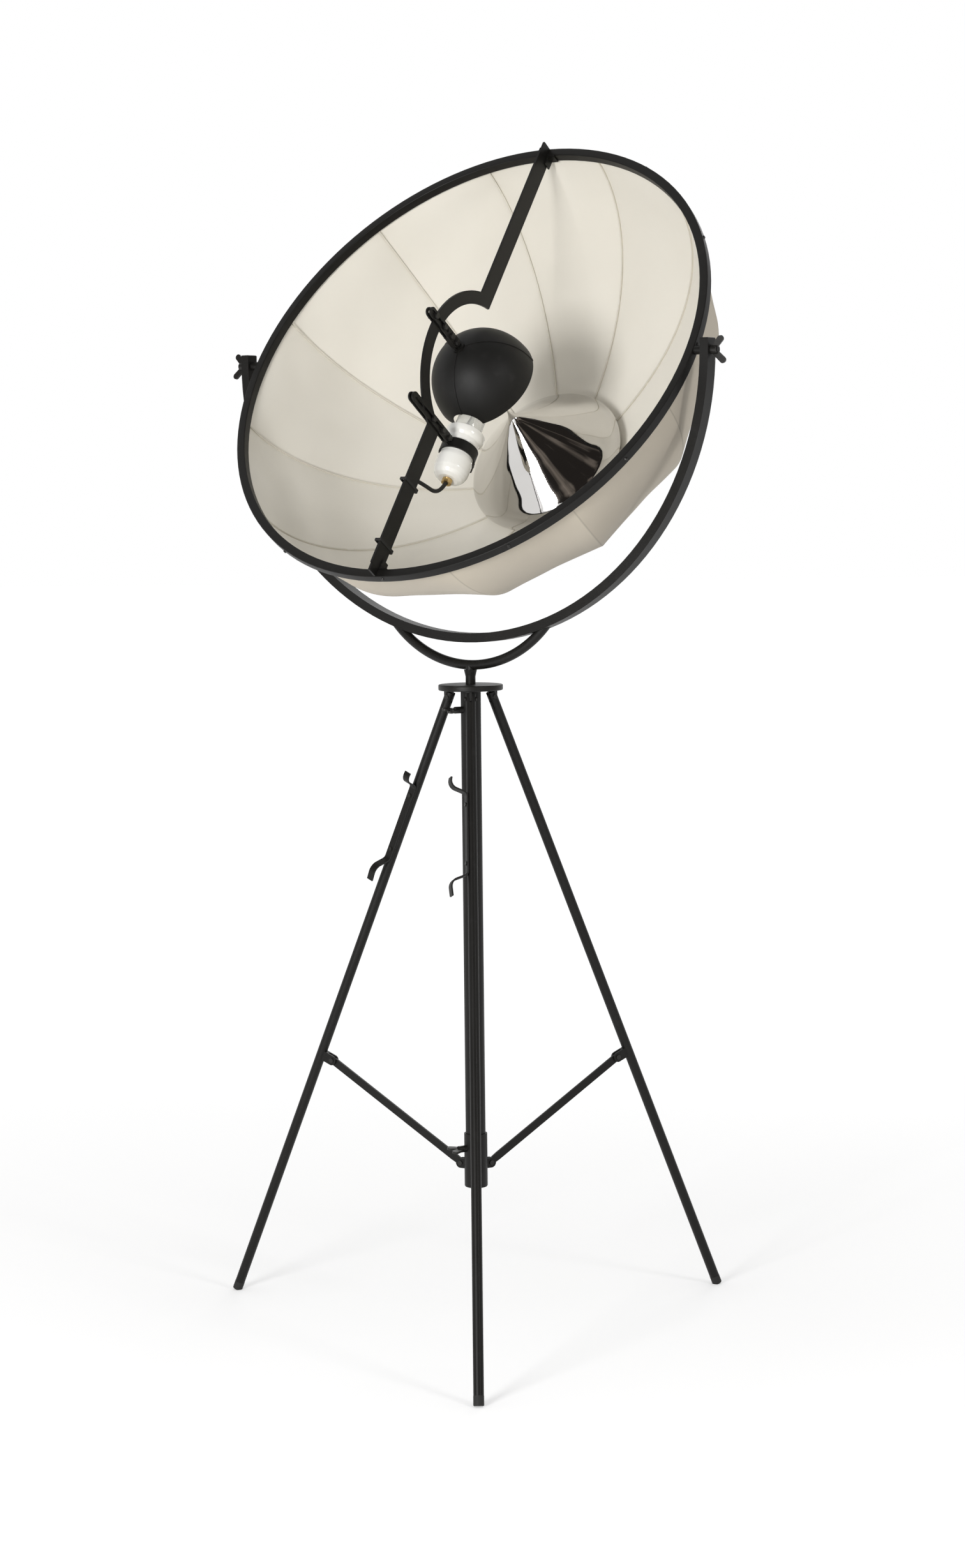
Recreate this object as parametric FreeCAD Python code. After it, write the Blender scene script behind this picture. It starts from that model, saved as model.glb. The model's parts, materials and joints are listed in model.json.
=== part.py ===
# Tripod spotlight floor lamp. Millimetres, +Z up, floor at z = 0 under the column.
import FreeCAD, Part
import math
import os

V = FreeCAD.Vector

# ---------------------------------------------------------------- shared fits
RUN = 0.05                  # radial play of a running fit
CLEAR = 0.35                # gap between parts that pass each other
WALL = 1.6                  # wall of the round steel tubes
PIN_R = 2.5                 # rivets and hinge pins
BOLT_R = 3.0                # clamp bolts and wing screws

# ---------------------------------------------------------------- tripod head
PLATE_R = 56.5
PLATE_T = 10.0
PLATE_TOP = 1138.0
COLUMN_R = 17.6
COLUMN_BORE = 15.5
COLUMN_FOOT = 262.0
STEM_R = 8.7
BUSH_L = 60.0
UPPER_SCREW_Z = 1094.0
SCREW_AZ = -150.0
WING_REACH = 52.0           # tip of a wing screw, from the column axis

# ---------------------------------------------------------------- legs
FRONT_ANGLE = -90.0         # direction of the front leg, degrees
LEG_AZ = {"front": FRONT_ANGLE, "right": FRONT_ANGLE + 120, "left": FRONT_ANGLE + 240}
LEG_R = 8.75
LEG_TILT = 22.92            # degrees from vertical
HINGE_R = 44.0              # hinge pin, from the column axis
HINGE_Z = 1115.0
LEG_TOP = 9.0               # tube above its pin
LUG_T = 3.5
LUG_R = 9.0
FOOT_L = 16.0               # rubber tip, along the leg
FOOT_SINK = 1.2             # height of the tip's axis end above the floor
FORK_AT = 712.0             # fork, from the hinge pin down the leg
FORK_REACH = 26.3           # fork pin, from the leg axis
FORK_W = 17.6
CHEEK_T = 3.0

# ---------------------------------------------------------------- struts and collar
STRUT_W = 14.0
STRUT_T = 4.0
STRUT_NOSE = 6.0            # end radius at the collar
STRUT_PLAY = 0.5            # each side, between the cheeks
COLLAR_R = 20.5
COLLAR_FOOT = 247.0
COLLAR_L = 96.0
COLLAR_FLOOR = 11.0
COLLAR_PIN_R = 29.0
COLLAR_PIN_Z = 287.0
GUIDE_BORE = 13.0
GUIDE_L = 313.0
LOWER_SCREW_Z = 317.0

# ---------------------------------------------------------------- cleats on two legs
CLEAT_W = 12.5
CLEAT_T = 3.0
CLEAT_AT = 172.0            # upper end of the plate, from the hinge pin
CLEAT_L = 145.0
CLEAT_RIVET = 20.0          # from each end of the plate
CLEAT_REACH = 31.0
CLEAT_TIP = 26.0            # straight tip beyond the bend
CLEAT_AZ = {"front": -70.0, "left": 80.0}

# ---------------------------------------------------------------- stem, support arc and yoke
RIM_R = 460.0               # outside of the shade's rim, which the yoke follows
SWIVEL = -35.0              # direction of the pivot line
TILT = 35.9                 # the shade looks up by this much
STEM_FOOT = 575.0
GUIDE_RING = 20.0
STOP_RING = 7.0
STOP_R = 12.0
ARC_R = 8.5
ARC_CENTRE_R = 212.0
ARC_FOOT = 1172.0           # lowest point of its centre line
ARC_Z = ARC_FOOT + ARC_CENTRE_R
ARC_OVER = 156.5            # its centre, above the yoke's inside bottom
YOKE_ROOM = 14.5            # between rim and yoke
YOKE_R = RIM_R + YOKE_ROOM  # inside radius
PIVOT_Z = ARC_Z - ARC_OVER + YOKE_R
YOKE_T = 16.0
YOKE_W = 24.6
YOKE_RISE = 20.0            # straight ends above the pivot

# ---------------------------------------------------------------- umbrella
RIM_T = 15.3
RIM_W = 16.0
STUD_R = 4.0
SPACER_R = 7.5
GORES = 12
RIB_TURN = 16.5             # angle of the first rib
RIB_R = 1.4
CANOPY_HEM = 10.0           # rim's outside to canopy's inside
CANOPY_R = RIM_R - CANOPY_HEM
CANOPY_D = 345.0            # inside depth
CANOPY_T = 2.0
SLACK = 0.045               # how far the middle of a gore draws in
APEX_R = 34.0
RIM_SCREW_R = 3.6

# ---------------------------------------------------------------- mirror cone
FLANGE_R = 138.0
FLANGE_T = 2.0
FLANGE_W = 26.0
FLANGE_ROOM = 13.0          # from flange to canopy
MIRROR_H = 178.0
MIRROR_R = FLANGE_R + 8.5   # at its fullest
MIRROR_W = FLANGE_T - CANOPY_D * math.sqrt(1 - ((FLANGE_R + FLANGE_ROOM) / CANOPY_R) ** 2)
MIRROR_TIP = MIRROR_W + MIRROR_H

# ---------------------------------------------------------------- crossbar
BAR_T = 4.0
BAR_LOW = -3.0
BAR_HIGH = 30.0
BOW_V = -20.0
BOW_W = -40.0
BOW_R = 134.0
BOW_BAND = 23.0
LAP_LOW = 8.0
LAP_HIGH = 28.0

# ---------------------------------------------------------------- hood and its arm
HOOD_R = 93.0
HOOD_D = 101.0
HOOD_W = -70.0              # plane of its opening
HOOD_T = 1.5
NOTCH_R = 29.0
STRAP_W = 17.0
STRAP_T = 3.0
HOOD_ARM_LOW = 35.0
HOOD_ARM_HIGH = 138.0
HOOD_BOLTS = (45.0, 63.0)
ARM_PLAY = 0.1              # strap beside the bar it slides on

# ---------------------------------------------------------------- lamp arm and holder
LAMP_V = -148.0
LAMP_ARM_LOW = -35.0
LAMP_ARM_HIGH = 98.0
LAMP_BOLTS = (26.0, -6.5)
EAR_BOLT = -29.0
HOLDER_W = -71.5
HOLDER_R = 30.0
BAND_W = 19.0
BAND_T = 3.0
SKIRT_R = 34.5
SKIRT_TOP = -108.0
NIPPLE_FOOT = -213.0
NIPPLE_R = 6.5
SHELL_R = 21.4
LEAD_R = 3.5


# ---------------------------------------------------------------- helpers
def rod(a, b, r):
    return Part.makeCylinder(r, (b - a).Length, a, b - a)


def tube(a, b, r, bore):
    return rod(a, b, r).cut(rod(a, b, bore))


def block(x0, x1, y0, y1, z0, z1):
    return Part.makeBox(x1 - x0, y1 - y0, z1 - z0, V(x0, y0, z0))


def slab(u0, u1, v, w0, w1, width, hole=0.0):
    """Flat strap in the v-w plane with round ends; hole is its slot's width."""
    half = width / 2
    shape = block(u0, u1, v - half, v + half, w0 + half, w1 - half)
    for w in (w0 + half, w1 - half):
        shape = shape.fuse(rod(V(u0, v, w), V(u1, v, w), half))
    return shape.removeSplitter()


def revolved(points, axis_at, axis):
    wire = Part.makePolygon(points + [points[0]])
    return Part.Face(wire).revolve(axis_at, axis, 360)


def route(points, radii):
    """Straight runs joined by tangent arcs."""
    edges = []
    start = points[0]
    for i, radius in enumerate(radii, 1):
        corner = points[i]
        back = (points[i - 1] - corner).normalize()
        ahead = (points[i + 1] - corner).normalize()
        half = back.getAngle(ahead) / 2
        first = corner + back * (radius / math.tan(half))
        last = corner + ahead * (radius / math.tan(half))
        inward = (back + ahead).normalize()
        middle = corner + inward * (radius / math.sin(half) - radius)
        edges.append(Part.LineSegment(start, first).toShape())
        edges.append(Part.Arc(first, middle, last).toShape())
        start = last
    edges.append(Part.LineSegment(start, points[-1]).toShape())
    return Part.Wire(edges)


def swept(wire, profile):
    return wire.makePipeShell([profile], True, True)


def turned(shape, degrees):
    copy = shape.copy()
    copy.rotate(V(0, 0, 0), V(0, 0, 1), degrees)
    return copy


def placed(shape, placement):
    copy = shape.copy()
    copy.Placement = placement.multiply(copy.Placement)
    return copy


def save(name, solids):
    shape = solids[0] if len(solids) == 1 else Part.makeCompound(solids)
    shape.exportStep("parts/" + name + ".step")


def wings(hub_r, hub_l, reach, spread, bore):
    """Wing nut about +X, its seat at x = 0."""
    shape = rod(V(0, 0, 0), V(hub_l, 0, 0), hub_r)
    root_r = min(5.0, hub_l * 0.5 - 0.2)
    for side in (1, -1):
        root = V(hub_l * 0.5, 0, side * hub_r * 0.55)
        tip = V(reach - 5.5, 0, side * (spread - 5.5))
        web = rod(root - V(0, 2, 0), root + V(0, 2, 0), root_r)
        web = web.fuse(rod(tip - V(0, 2, 0), tip + V(0, 2, 0), 5.5))
        along = (tip - root).normalize()
        across = V(along.z, 0, -along.x)
        corners = [root + across * root_r, tip + across * 5.5]
        corners = corners + [tip - across * 5.5, root - across * root_r]
        corners = [c - V(0, 2, 0) for c in corners]
        face = Part.Face(Part.makePolygon(corners + [corners[0]]))
        shape = shape.fuse(web.fuse(face.extrude(V(0, 4, 0))))
    if bore:
        shape = shape.cut(rod(V(-1, 0, 0), V(reach, 0, 0), bore))
    return shape.removeSplitter()


def wing_screw(start, seat, reach, z):
    """Wing screw along +X at height z, its shaft from x = start."""
    shape = placed(wings(6.0, 9.0, reach - seat, 15.0, 0), FreeCAD.Placement(V(seat, 0, 0), FreeCAD.Rotation()))
    shape.rotate(V(0, 0, 0), V(1, 0, 0), 80)
    shape = shape.fuse(rod(V(start, 0, 0), V(seat + 1, 0, 0), BOLT_R)).removeSplitter()
    shape.translate(V(0, 0, z))
    return shape


os.makedirs("parts", exist_ok=True)

# ---------------------------------------------------------------- tripod head
UNDER = PLATE_TOP - PLATE_T
axis_low = V(0, 0, 0)

plate = Part.makeCylinder(PLATE_R, PLATE_T, V(0, 0, UNDER))
plate = plate.makeFillet(2.0, [e for e in plate.Edges if e.Curve.TypeId == "Part::GeomCircle"])
plate = plate.cut(Part.makeCylinder(STEM_R + CLEAR, PLATE_T * 3, V(0, 0, UNDER - PLATE_T)))
save("hub_plate", [plate])

screw_hole = rod(V(STEM_R, 0, UPPER_SCREW_Z), V(COLUMN_R + 9, 0, UPPER_SCREW_Z), BOLT_R + CLEAR)
screw_hole = turned(screw_hole, SCREW_AZ)
column = tube(V(0, 0, COLUMN_FOOT), V(0, 0, UNDER), COLUMN_R, COLUMN_BORE).cut(screw_hole)

BOSS_L = 5.5


def boss(inner_r, z):
    shape = tube(V(0, 0, z), V(inner_r + BOSS_L, 0, z), 6.0, BOLT_R + RUN)
    shape = shape.cut(Part.makeCylinder(inner_r, 40, V(0, 0, z - 20)))
    return turned(shape, SCREW_AZ)


save("column_tube", [column.fuse(boss(COLUMN_R, UPPER_SCREW_Z))])

bush = tube(V(0, 0, UNDER - BUSH_L), V(0, 0, UNDER), COLUMN_BORE, STEM_R + RUN).cut(screw_hole)
save("stem_bush", [bush])

seat = COLUMN_R + BOSS_L + CLEAR
upper_screw = wing_screw(STEM_R + CLEAR, seat, WING_REACH, UPPER_SCREW_Z)
save("stem_wing_screw", [turned(upper_screw, SCREW_AZ)])

lug = Part.makeCylinder(LUG_R, LUG_T, V(HINGE_R, -LUG_T / 2, HINGE_Z), V(0, 1, 0))
lug = lug.fuse(block(HINGE_R - LUG_R, HINGE_R + LUG_R, -LUG_T / 2, LUG_T / 2, HINGE_Z, UNDER))
pin_hole = rod(V(HINGE_R, -20, HINGE_Z), V(HINGE_R, 20, HINGE_Z), PIN_R)
lug = lug.cut(pin_hole).removeSplitter()
save("leg_lugs", [turned(lug, a) for a in LEG_AZ.values()])

PIN_HEAD = LEG_R + CLEAR
hinge_pin = rod(V(HINGE_R, -PIN_HEAD, HINGE_Z), V(HINGE_R, PIN_HEAD, HINGE_Z), PIN_R)
for side in (1, -1):
    head_at = V(HINGE_R, side * PIN_HEAD, HINGE_Z)
    hinge_pin = hinge_pin.fuse(rod(head_at, head_at + V(0, side * 1.8, 0), PIN_R + 1.6))
save("leg_hinge_pins", [turned(hinge_pin.removeSplitter(), a) for a in LEG_AZ.values()])

# ---------------------------------------------------------------- legs
lean = math.radians(LEG_TILT)
DOWN = V(math.sin(lean), 0, -math.cos(lean))        # down the leg
OUT = V(math.cos(lean), 0, math.sin(lean))          # away from the column, square to the leg
hinge = V(HINGE_R, 0, HINGE_Z)
top = hinge - DOWN * LEG_TOP
FOOT_AT = (HINGE_Z - FOOT_SINK) / math.cos(lean)
foot_end = hinge + DOWN * FOOT_AT
tube_end = foot_end - DOWN * FOOT_L

leg = tube(top, tube_end, LEG_R, LEG_R - WALL)
slot = rod(hinge - V(0, LUG_T / 2 + CLEAR, 0), hinge + V(0, LUG_T / 2 + CLEAR, 0), LUG_R + 3)
slot_up = block(-40, 40, -LUG_T / 2 - CLEAR, LUG_T / 2 + CLEAR, 0, 60)
slot_up.rotate(V(0, 0, 0), V(0, 1, 0), -LEG_TILT)
slot_up.translate(hinge)
leg = leg.cut(slot).cut(slot_up)
leg = leg.cut(rod(hinge - V(0, 20, 0), hinge + V(0, 20, 0), PIN_R + RUN))

foot = rod(tube_end - DOWN * 14, foot_end, LEG_R - WALL)
tip = Part.makeCylinder(LEG_R + 0.2, FOOT_L, tube_end, DOWN)
end_edge = [e for e in tip.Edges if (e.CenterOfMass - foot_end).Length < 1]
foot = foot.fuse(tip.makeFillet(1.2, end_edge)).removeSplitter()
foot = foot.cut(block(foot_end.x - 60, foot_end.x + 60, -30, 30, foot_end.z - 40, 0))

fork_root = hinge + DOWN * FORK_AT
fork_pin_at = fork_root - OUT * FORK_REACH
GAP = STRUT_T / 2 + STRUT_PLAY
fork = Part.makeBox(FORK_W, 2 * (GAP + CHEEK_T), FORK_REACH, V(-FORK_W / 2, -GAP - CHEEK_T, 0))
fork = fork.fuse(rod(V(0, -GAP - CHEEK_T, FORK_REACH), V(0, GAP + CHEEK_T, FORK_REACH), FORK_W / 2))
fork = fork.cut(Part.makeBox(60, 2 * GAP, 60, V(-30, -GAP, LEG_R + 5)))
fork = fork.cut(rod(V(0, -20, FORK_REACH), V(0, 20, FORK_REACH), PIN_R))
fork_turn = FreeCAD.Rotation(DOWN * -1, V(0, 1, 0), OUT * -1, "ZYX")
fork = placed(fork, FreeCAD.Placement(fork_root, fork_turn))
fork = fork.cut(rod(hinge, foot_end, LEG_R)).removeSplitter()

CHEEK = GAP + CHEEK_T
rivet = rod(fork_pin_at - V(0, CHEEK, 0), fork_pin_at + V(0, CHEEK, 0), PIN_R)
for side in (1, -1):
    head_at = fork_pin_at + V(0, side * CHEEK, 0)
    rivet = rivet.fuse(rod(head_at, head_at + V(0, side * 1.8, 0), PIN_R + 1.8))
rivet = rivet.removeSplitter()


def cleat_frame(azimuth):
    """x up the leg, z outward through the plate; origin on the leg axis at the plate's middle."""
    turn = FreeCAD.Rotation(DOWN * -1, V(0, 1, 0), OUT, "ZYX")
    turn = FreeCAD.Rotation(DOWN * -1, azimuth).multiply(turn)
    return FreeCAD.Placement(hinge + DOWN * (CLEAT_AT + CLEAT_L / 2), turn)


def cleat(azimuth):
    seat_z = LEG_R + CLEAT_T / 2
    half = CLEAT_L / 2
    lift = seat_z + CLEAT_REACH
    points = [V(-half - CLEAT_TIP, 0, lift - 3), V(-half - 10, 0, lift), V(-half, 0, seat_z)]
    points = points + [V(half, 0, seat_z), V(half + 14, 0, lift), V(half + 14 + CLEAT_TIP, 0, lift - 3)]
    path = route(points, [14.0, 9.0, 9.0, 16.0])
    w = CLEAT_W / 2
    t = CLEAT_T / 2
    start = points[0]
    along = (points[1] - points[0]).normalize()
    across = V(-along.z, 0, along.x)
    corners = [start + across * t + V(0, w, 0), start + across * t - V(0, w, 0)]
    corners = corners + [start - across * t - V(0, w, 0), start - across * t + V(0, w, 0)]
    profile = Part.makePolygon(corners + [corners[0]])
    shape = swept(path, profile)
    for x in (half - CLEAT_RIVET, CLEAT_RIVET - half):
        shape = shape.cut(rod(V(x, 0, 0), V(x, 0, 30), 2.0))
    return placed(shape, cleat_frame(azimuth))


def cleat_rivets(azimuth):
    found = []
    for x in (CLEAT_L / 2 - CLEAT_RIVET, CLEAT_RIVET - CLEAT_L / 2):
        shape = rod(V(x, 0, LEG_R - WALL - 1), V(x, 0, LEG_R + CLEAT_T), 2.0)
        shape = shape.fuse(rod(V(x, 0, LEG_R + CLEAT_T), V(x, 0, LEG_R + CLEAT_T + 1.5), 3.6))
        found.append(placed(shape.removeSplitter(), cleat_frame(azimuth)))
    return found


for name, azimuth in LEG_AZ.items():
    this_leg = leg
    rivets = []
    if name in CLEAT_AZ:
        rivets = cleat_rivets(CLEAT_AZ[name])
        save("leg_" + name + "_cleat", [turned(cleat(CLEAT_AZ[name]), azimuth)])
    for shape in rivets:
        this_leg = this_leg.cut(shape)
    save("leg_" + name + "_tube", [turned(this_leg.fuse(fork), azimuth)])
    save("leg_" + name + "_foot", [turned(foot, azimuth)])
    save("leg_" + name + "_rivets", [turned(r, azimuth) for r in [rivet] + rivets])

# ---------------------------------------------------------------- struts
collar_pin = V(COLLAR_PIN_R, 0, COLLAR_PIN_Z)
strut_dir = (fork_pin_at - collar_pin).normalize()
strut_up = V(-strut_dir.z, 0, strut_dir.x)
half = STRUT_W / 2
strut = rod(collar_pin - V(0, STRUT_T / 2, 0), collar_pin + V(0, STRUT_T / 2, 0), STRUT_NOSE)
strut = strut.fuse(rod(fork_pin_at - V(0, STRUT_T / 2, 0), fork_pin_at + V(0, STRUT_T / 2, 0), half))
taper = collar_pin + strut_dir * 20
corners = [collar_pin + strut_up * STRUT_NOSE, taper + strut_up * half, fork_pin_at + strut_up * half]
corners = corners + [fork_pin_at - strut_up * half, taper - strut_up * half, collar_pin - strut_up * STRUT_NOSE]
corners = [c - V(0, STRUT_T / 2, 0) for c in corners]
strut = strut.fuse(Part.Face(Part.makePolygon(corners + [corners[0]])).extrude(V(0, STRUT_T, 0)))
strut = strut.cut(rod(collar_pin - V(0, 9, 0), collar_pin + V(0, 9, 0), PIN_R + CLEAR))
strut = strut.cut(rod(fork_pin_at - V(0, 9, 0), fork_pin_at + V(0, 9, 0), PIN_R + RUN))
strut = strut.removeSplitter()
for name, azimuth in LEG_AZ.items():
    save("strut_" + name, [turned(strut, azimuth)])

# ---------------------------------------------------------------- collar
COLLAR_TOP = COLLAR_FOOT + COLLAR_L
sleeve = Part.makeCylinder(COLLAR_R, COLLAR_L, V(0, 0, COLLAR_FOOT))
low_edge = [e for e in sleeve.Edges if abs(e.CenterOfMass.z - COLLAR_FOOT) < 0.1]
sleeve = sleeve.makeFillet(3.0, low_edge)
bore_z = COLLAR_FOOT + COLLAR_FLOOR
sleeve = sleeve.cut(Part.makeCylinder(COLUMN_R + RUN, COLLAR_L, V(0, 0, bore_z)))
GUIDE_R = COLUMN_BORE - RUN
sleeve = sleeve.cut(Part.makeCylinder(GUIDE_R, COLLAR_L * 2, V(0, 0, COLLAR_FOOT - COLLAR_L)))
lower_hole = rod(V(COLUMN_R, 0, LOWER_SCREW_Z), V(COLLAR_R + 4, 0, LOWER_SCREW_Z), BOLT_R + CLEAR)
sleeve = sleeve.cut(turned(lower_hole, SCREW_AZ))
sleeve = sleeve.fuse(boss(COLLAR_R, LOWER_SCREW_Z))
guide = tube(V(0, 0, COLLAR_FOOT), V(0, 0, COLLAR_FOOT + GUIDE_L), GUIDE_R, GUIDE_BORE)
save("collar_guide_tube", [guide])
lower_screw = wing_screw(COLUMN_R + CLEAR, COLLAR_R + BOSS_L + CLEAR, WING_REACH, LOWER_SCREW_Z)
save("collar_wing_screw", [turned(lower_screw, SCREW_AZ)])

stubs = []
for azimuth in LEG_AZ.values():
    for side in (1, -1):
        y0 = min(side * GAP, side * CHEEK)
        cheek = Part.makeCylinder(9.0, CHEEK_T, V(COLLAR_PIN_R, y0, COLLAR_PIN_Z), V(0, 1, 0))
        plate_back = block(COLLAR_R - 4, COLLAR_PIN_R, y0, y0 + CHEEK_T, COLLAR_PIN_Z - 9, COLLAR_PIN_Z + 9)
        cheek = cheek.fuse(plate_back)
        cheek = cheek.cut(Part.makeCylinder(COLLAR_R, 60, V(0, 0, COLLAR_PIN_Z - 30)))
        cheek = cheek.cut(rod(V(COLLAR_PIN_R, -20, COLLAR_PIN_Z), V(COLLAR_PIN_R, 20, COLLAR_PIN_Z), PIN_R))
        sleeve = sleeve.fuse(turned(cheek, azimuth))
        inner = V(COLLAR_PIN_R, side * GAP, COLLAR_PIN_Z)
        outer = V(COLLAR_PIN_R, side * CHEEK, COLLAR_PIN_Z)
        stub = rod(inner, outer, PIN_R).fuse(rod(outer, outer + V(0, side * 1.8, 0), PIN_R + 1.8))
        stubs.append(turned(stub.removeSplitter(), azimuth))
save("collar_sleeve", [sleeve.removeSplitter()])
save("collar_rivets", stubs)

# ---------------------------------------------------------------- stem and its guide
stem = tube(V(0, 0, STEM_FOOT), V(0, 0, ARC_Z - ARC_CENTRE_R), STEM_R, STEM_R - 2)
weld = Part.makeCone(STEM_R, ARC_R + 3, 12, V(0, 0, ARC_Z - ARC_CENTRE_R - ARC_R - 12))
stem = stem.fuse(weld.cut(rod(V(0, 0, 0), V(0, 0, ARC_Z), STEM_R - 2)))
arc = Part.makeTorus(ARC_CENTRE_R, ARC_R, V(0, 0, ARC_Z), V(0, 1, 0))
stem = stem.cut(arc).removeSplitter()
stem = sorted(stem.Solids, key=lambda s: s.Volume)[-1]
save("stem_tube", [turned(stem, SWIVEL)])

ring_low = STEM_FOOT + STOP_RING + 0.5
ring_high = ring_low + GUIDE_RING
guide_ring = tube(V(0, 0, ring_low), V(0, 0, ring_high), COLUMN_BORE - RUN, STEM_R + RUN)
save("stem_guide_ring", [guide_ring])
lower_stop = tube(V(0, 0, STEM_FOOT), V(0, 0, STEM_FOOT + STOP_RING), STOP_R, STEM_R)
upper_stop = tube(V(0, 0, ring_high + 0.5), V(0, 0, ring_high + 0.5 + STOP_RING), STOP_R, STEM_R)
save("stem_stop_rings", [lower_stop, upper_stop])

# ---------------------------------------------------------------- support arc and yoke
YOKE_OUT = YOKE_R + YOKE_T
pivot = V(0, 0, PIVOT_Z)
inside = Part.makeCylinder(YOKE_OUT, ARC_CENTRE_R, V(0, -ARC_CENTRE_R / 2, PIVOT_Z), V(0, 1, 0))
arc = arc.cut(inside)
arc = sorted(arc.Solids, key=lambda s: s.CenterOfMass.z)[0]
save("support_arc", [turned(arc, SWIVEL)])

yoke = Part.makeCylinder(YOKE_OUT, YOKE_W, V(0, -YOKE_W / 2, PIVOT_Z), V(0, 1, 0))
yoke = yoke.cut(Part.makeCylinder(YOKE_R, YOKE_W * 2, V(0, -YOKE_W, PIVOT_Z), V(0, 1, 0)))
yoke = yoke.cut(block(-YOKE_OUT - 9, YOKE_OUT + 9, -YOKE_W, YOKE_W, PIVOT_Z, PIVOT_Z + YOKE_OUT + 9))
for side in (1, -1):
    x0 = min(side * YOKE_R, side * YOKE_OUT)
    yoke_end = block(x0, x0 + YOKE_T, -YOKE_W / 2, YOKE_W / 2, PIVOT_Z, PIVOT_Z + YOKE_RISE)
    top_edges = [e for e in yoke_end.Edges if abs(e.CenterOfMass.z - PIVOT_Z - YOKE_RISE) < 0.1]
    yoke = yoke.fuse(yoke_end.makeFillet(2.0, top_edges))
stud_hole = rod(V(-YOKE_OUT - 9, 0, PIVOT_Z), V(YOKE_OUT + 9, 0, PIVOT_Z), STUD_R + CLEAR)
yoke = yoke.cut(stud_hole).removeSplitter()
save("yoke_arc", [turned(yoke, SWIVEL)])

NUT_SEAT = YOKE_OUT + CLEAR
nut = wings(7.5, 11.0, 24.0, 23.0, STUD_R + RUN)
for name, side in (("right", 0), ("left", 180)):
    one = nut.copy()
    one.rotate(V(0, 0, 0), V(1, 0, 0), 12)
    one.translate(V(NUT_SEAT, 0, PIVOT_Z))
    save("wing_nut_" + name, [turned(one, SWIVEL + side)])

# ---------------------------------------------------------------- shade frame: x = pivot line, z = opening
SHADE = FreeCAD.Placement(pivot, FreeCAD.Rotation(V(0, 0, 1), SWIVEL))
SHADE = SHADE.multiply(FreeCAD.Placement(V(0, 0, 0), FreeCAD.Rotation(V(1, 0, 0), 90 - TILT)))


def save_shade(name, solids):
    save(name, [placed(s, SHADE) for s in solids])


RIM_IN = RIM_R - RIM_T
HALF_RIM = RIM_W / 2
RIM_STEP = 360.0 / GORES
lead_in = V(-BAR_T / 2 - LEAD_R - 0.1, -RIM_IN, 1.0)
rim = tube(V(0, 0, -HALF_RIM), V(0, 0, HALF_RIM), RIM_R, RIM_IN)
rim = rim.makeFillet(1.5, [e for e in rim.Edges if e.Curve.TypeId == "Part::GeomCircle"])
rim = rim.cut(rod(V(-RIM_R - 9, 0, 0), V(RIM_R + 9, 0, 0), STUD_R))
rim = rim.cut(rod(lead_in + V(0, 9, 0), lead_in - V(0, 8, 0), LEAD_R + 1.5))

screws = []
for k in range(GORES):
    a = math.radians(RIB_TURN - RIM_STEP / 2 + k * RIM_STEP)
    way = V(math.cos(a), math.sin(a), 0)
    screw = rod(way * (RIM_IN + 2), way * RIM_R, 1.8)
    screw = screw.fuse(Part.makeCone(RIM_SCREW_R, RIM_SCREW_R - 1.4, 2.4, way * (RIM_R - 0.1), way))
    screw = screw.removeSplitter()
    screws.append(screw)
    rim = rim.cut(screw)
save_shade("rim_ring", [rim])
save_shade("rim_screws", screws)

studs = []
for side in (1, -1):
    stud = rod(V(side * (RIM_R - 3), 0, 0), V(side * (YOKE_R - CLEAR - 0.1), 0, 0), SPACER_R).cut(rim)
    stud = stud.fuse(rod(V(side * RIM_IN, 0, 0), V(side * (NUT_SEAT + 12), 0, 0), STUD_R))
    studs.append(sorted(stud.Solids, key=lambda s: s.Volume)[-1].removeSplitter())
save_shade("pivot_studs", studs)


def rib_radius(w, r, d):
    return r * math.sqrt(1 - (w / d) ** 2)


def gore_section(w, r, d):
    """Twelve arcs: a circle at the rim, drawn in between the ribs further back."""
    rho = rib_radius(w, r, d)
    draw = SLACK * (1 - math.exp(-(abs(w) - HALF_RIM) / 60.0))
    edges = []
    for k in range(GORES):
        angles = [math.radians(RIB_TURN + (k + s) * RIM_STEP) for s in (0, 0.5, 1)]
        radii = (rho, rho * (1 - draw), rho)
        points = [V(q * math.cos(a), q * math.sin(a), w) for q, a in zip(radii, angles)]
        edges.append(Part.Arc(points[0], points[1], points[2]).toShape())
    return Part.Wire(edges)


def gore_body(r, d, deep):
    start = -HALF_RIM
    steps = 9
    sections = []
    for k in range(steps + 1):
        w = start + (deep - start) * math.sin(math.pi / 2 * k / steps)
        sections.append(gore_section(w, r, d))
    return Part.makeLoft(sections, True, False)


inner_deep = -CANOPY_D * math.sqrt(1 - (APEX_R / CANOPY_R) ** 2)
outer_deep = inner_deep - CANOPY_T
canopy = gore_body(CANOPY_R + CANOPY_T, CANOPY_D + CANOPY_T, outer_deep)
canopy = canopy.cut(gore_body(CANOPY_R, CANOPY_D, inner_deep))
BOLT_HOLE = 4.0
canopy = canopy.cut(rod(V(0, 0, inner_deep - 20), V(0, 0, inner_deep + 20), BOLT_HOLE))
save_shade("canopy", [canopy])

apex_plate = tube(V(0, 0, inner_deep), V(0, 0, inner_deep + 3), APEX_R - 2, BOLT_HOLE)


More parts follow.
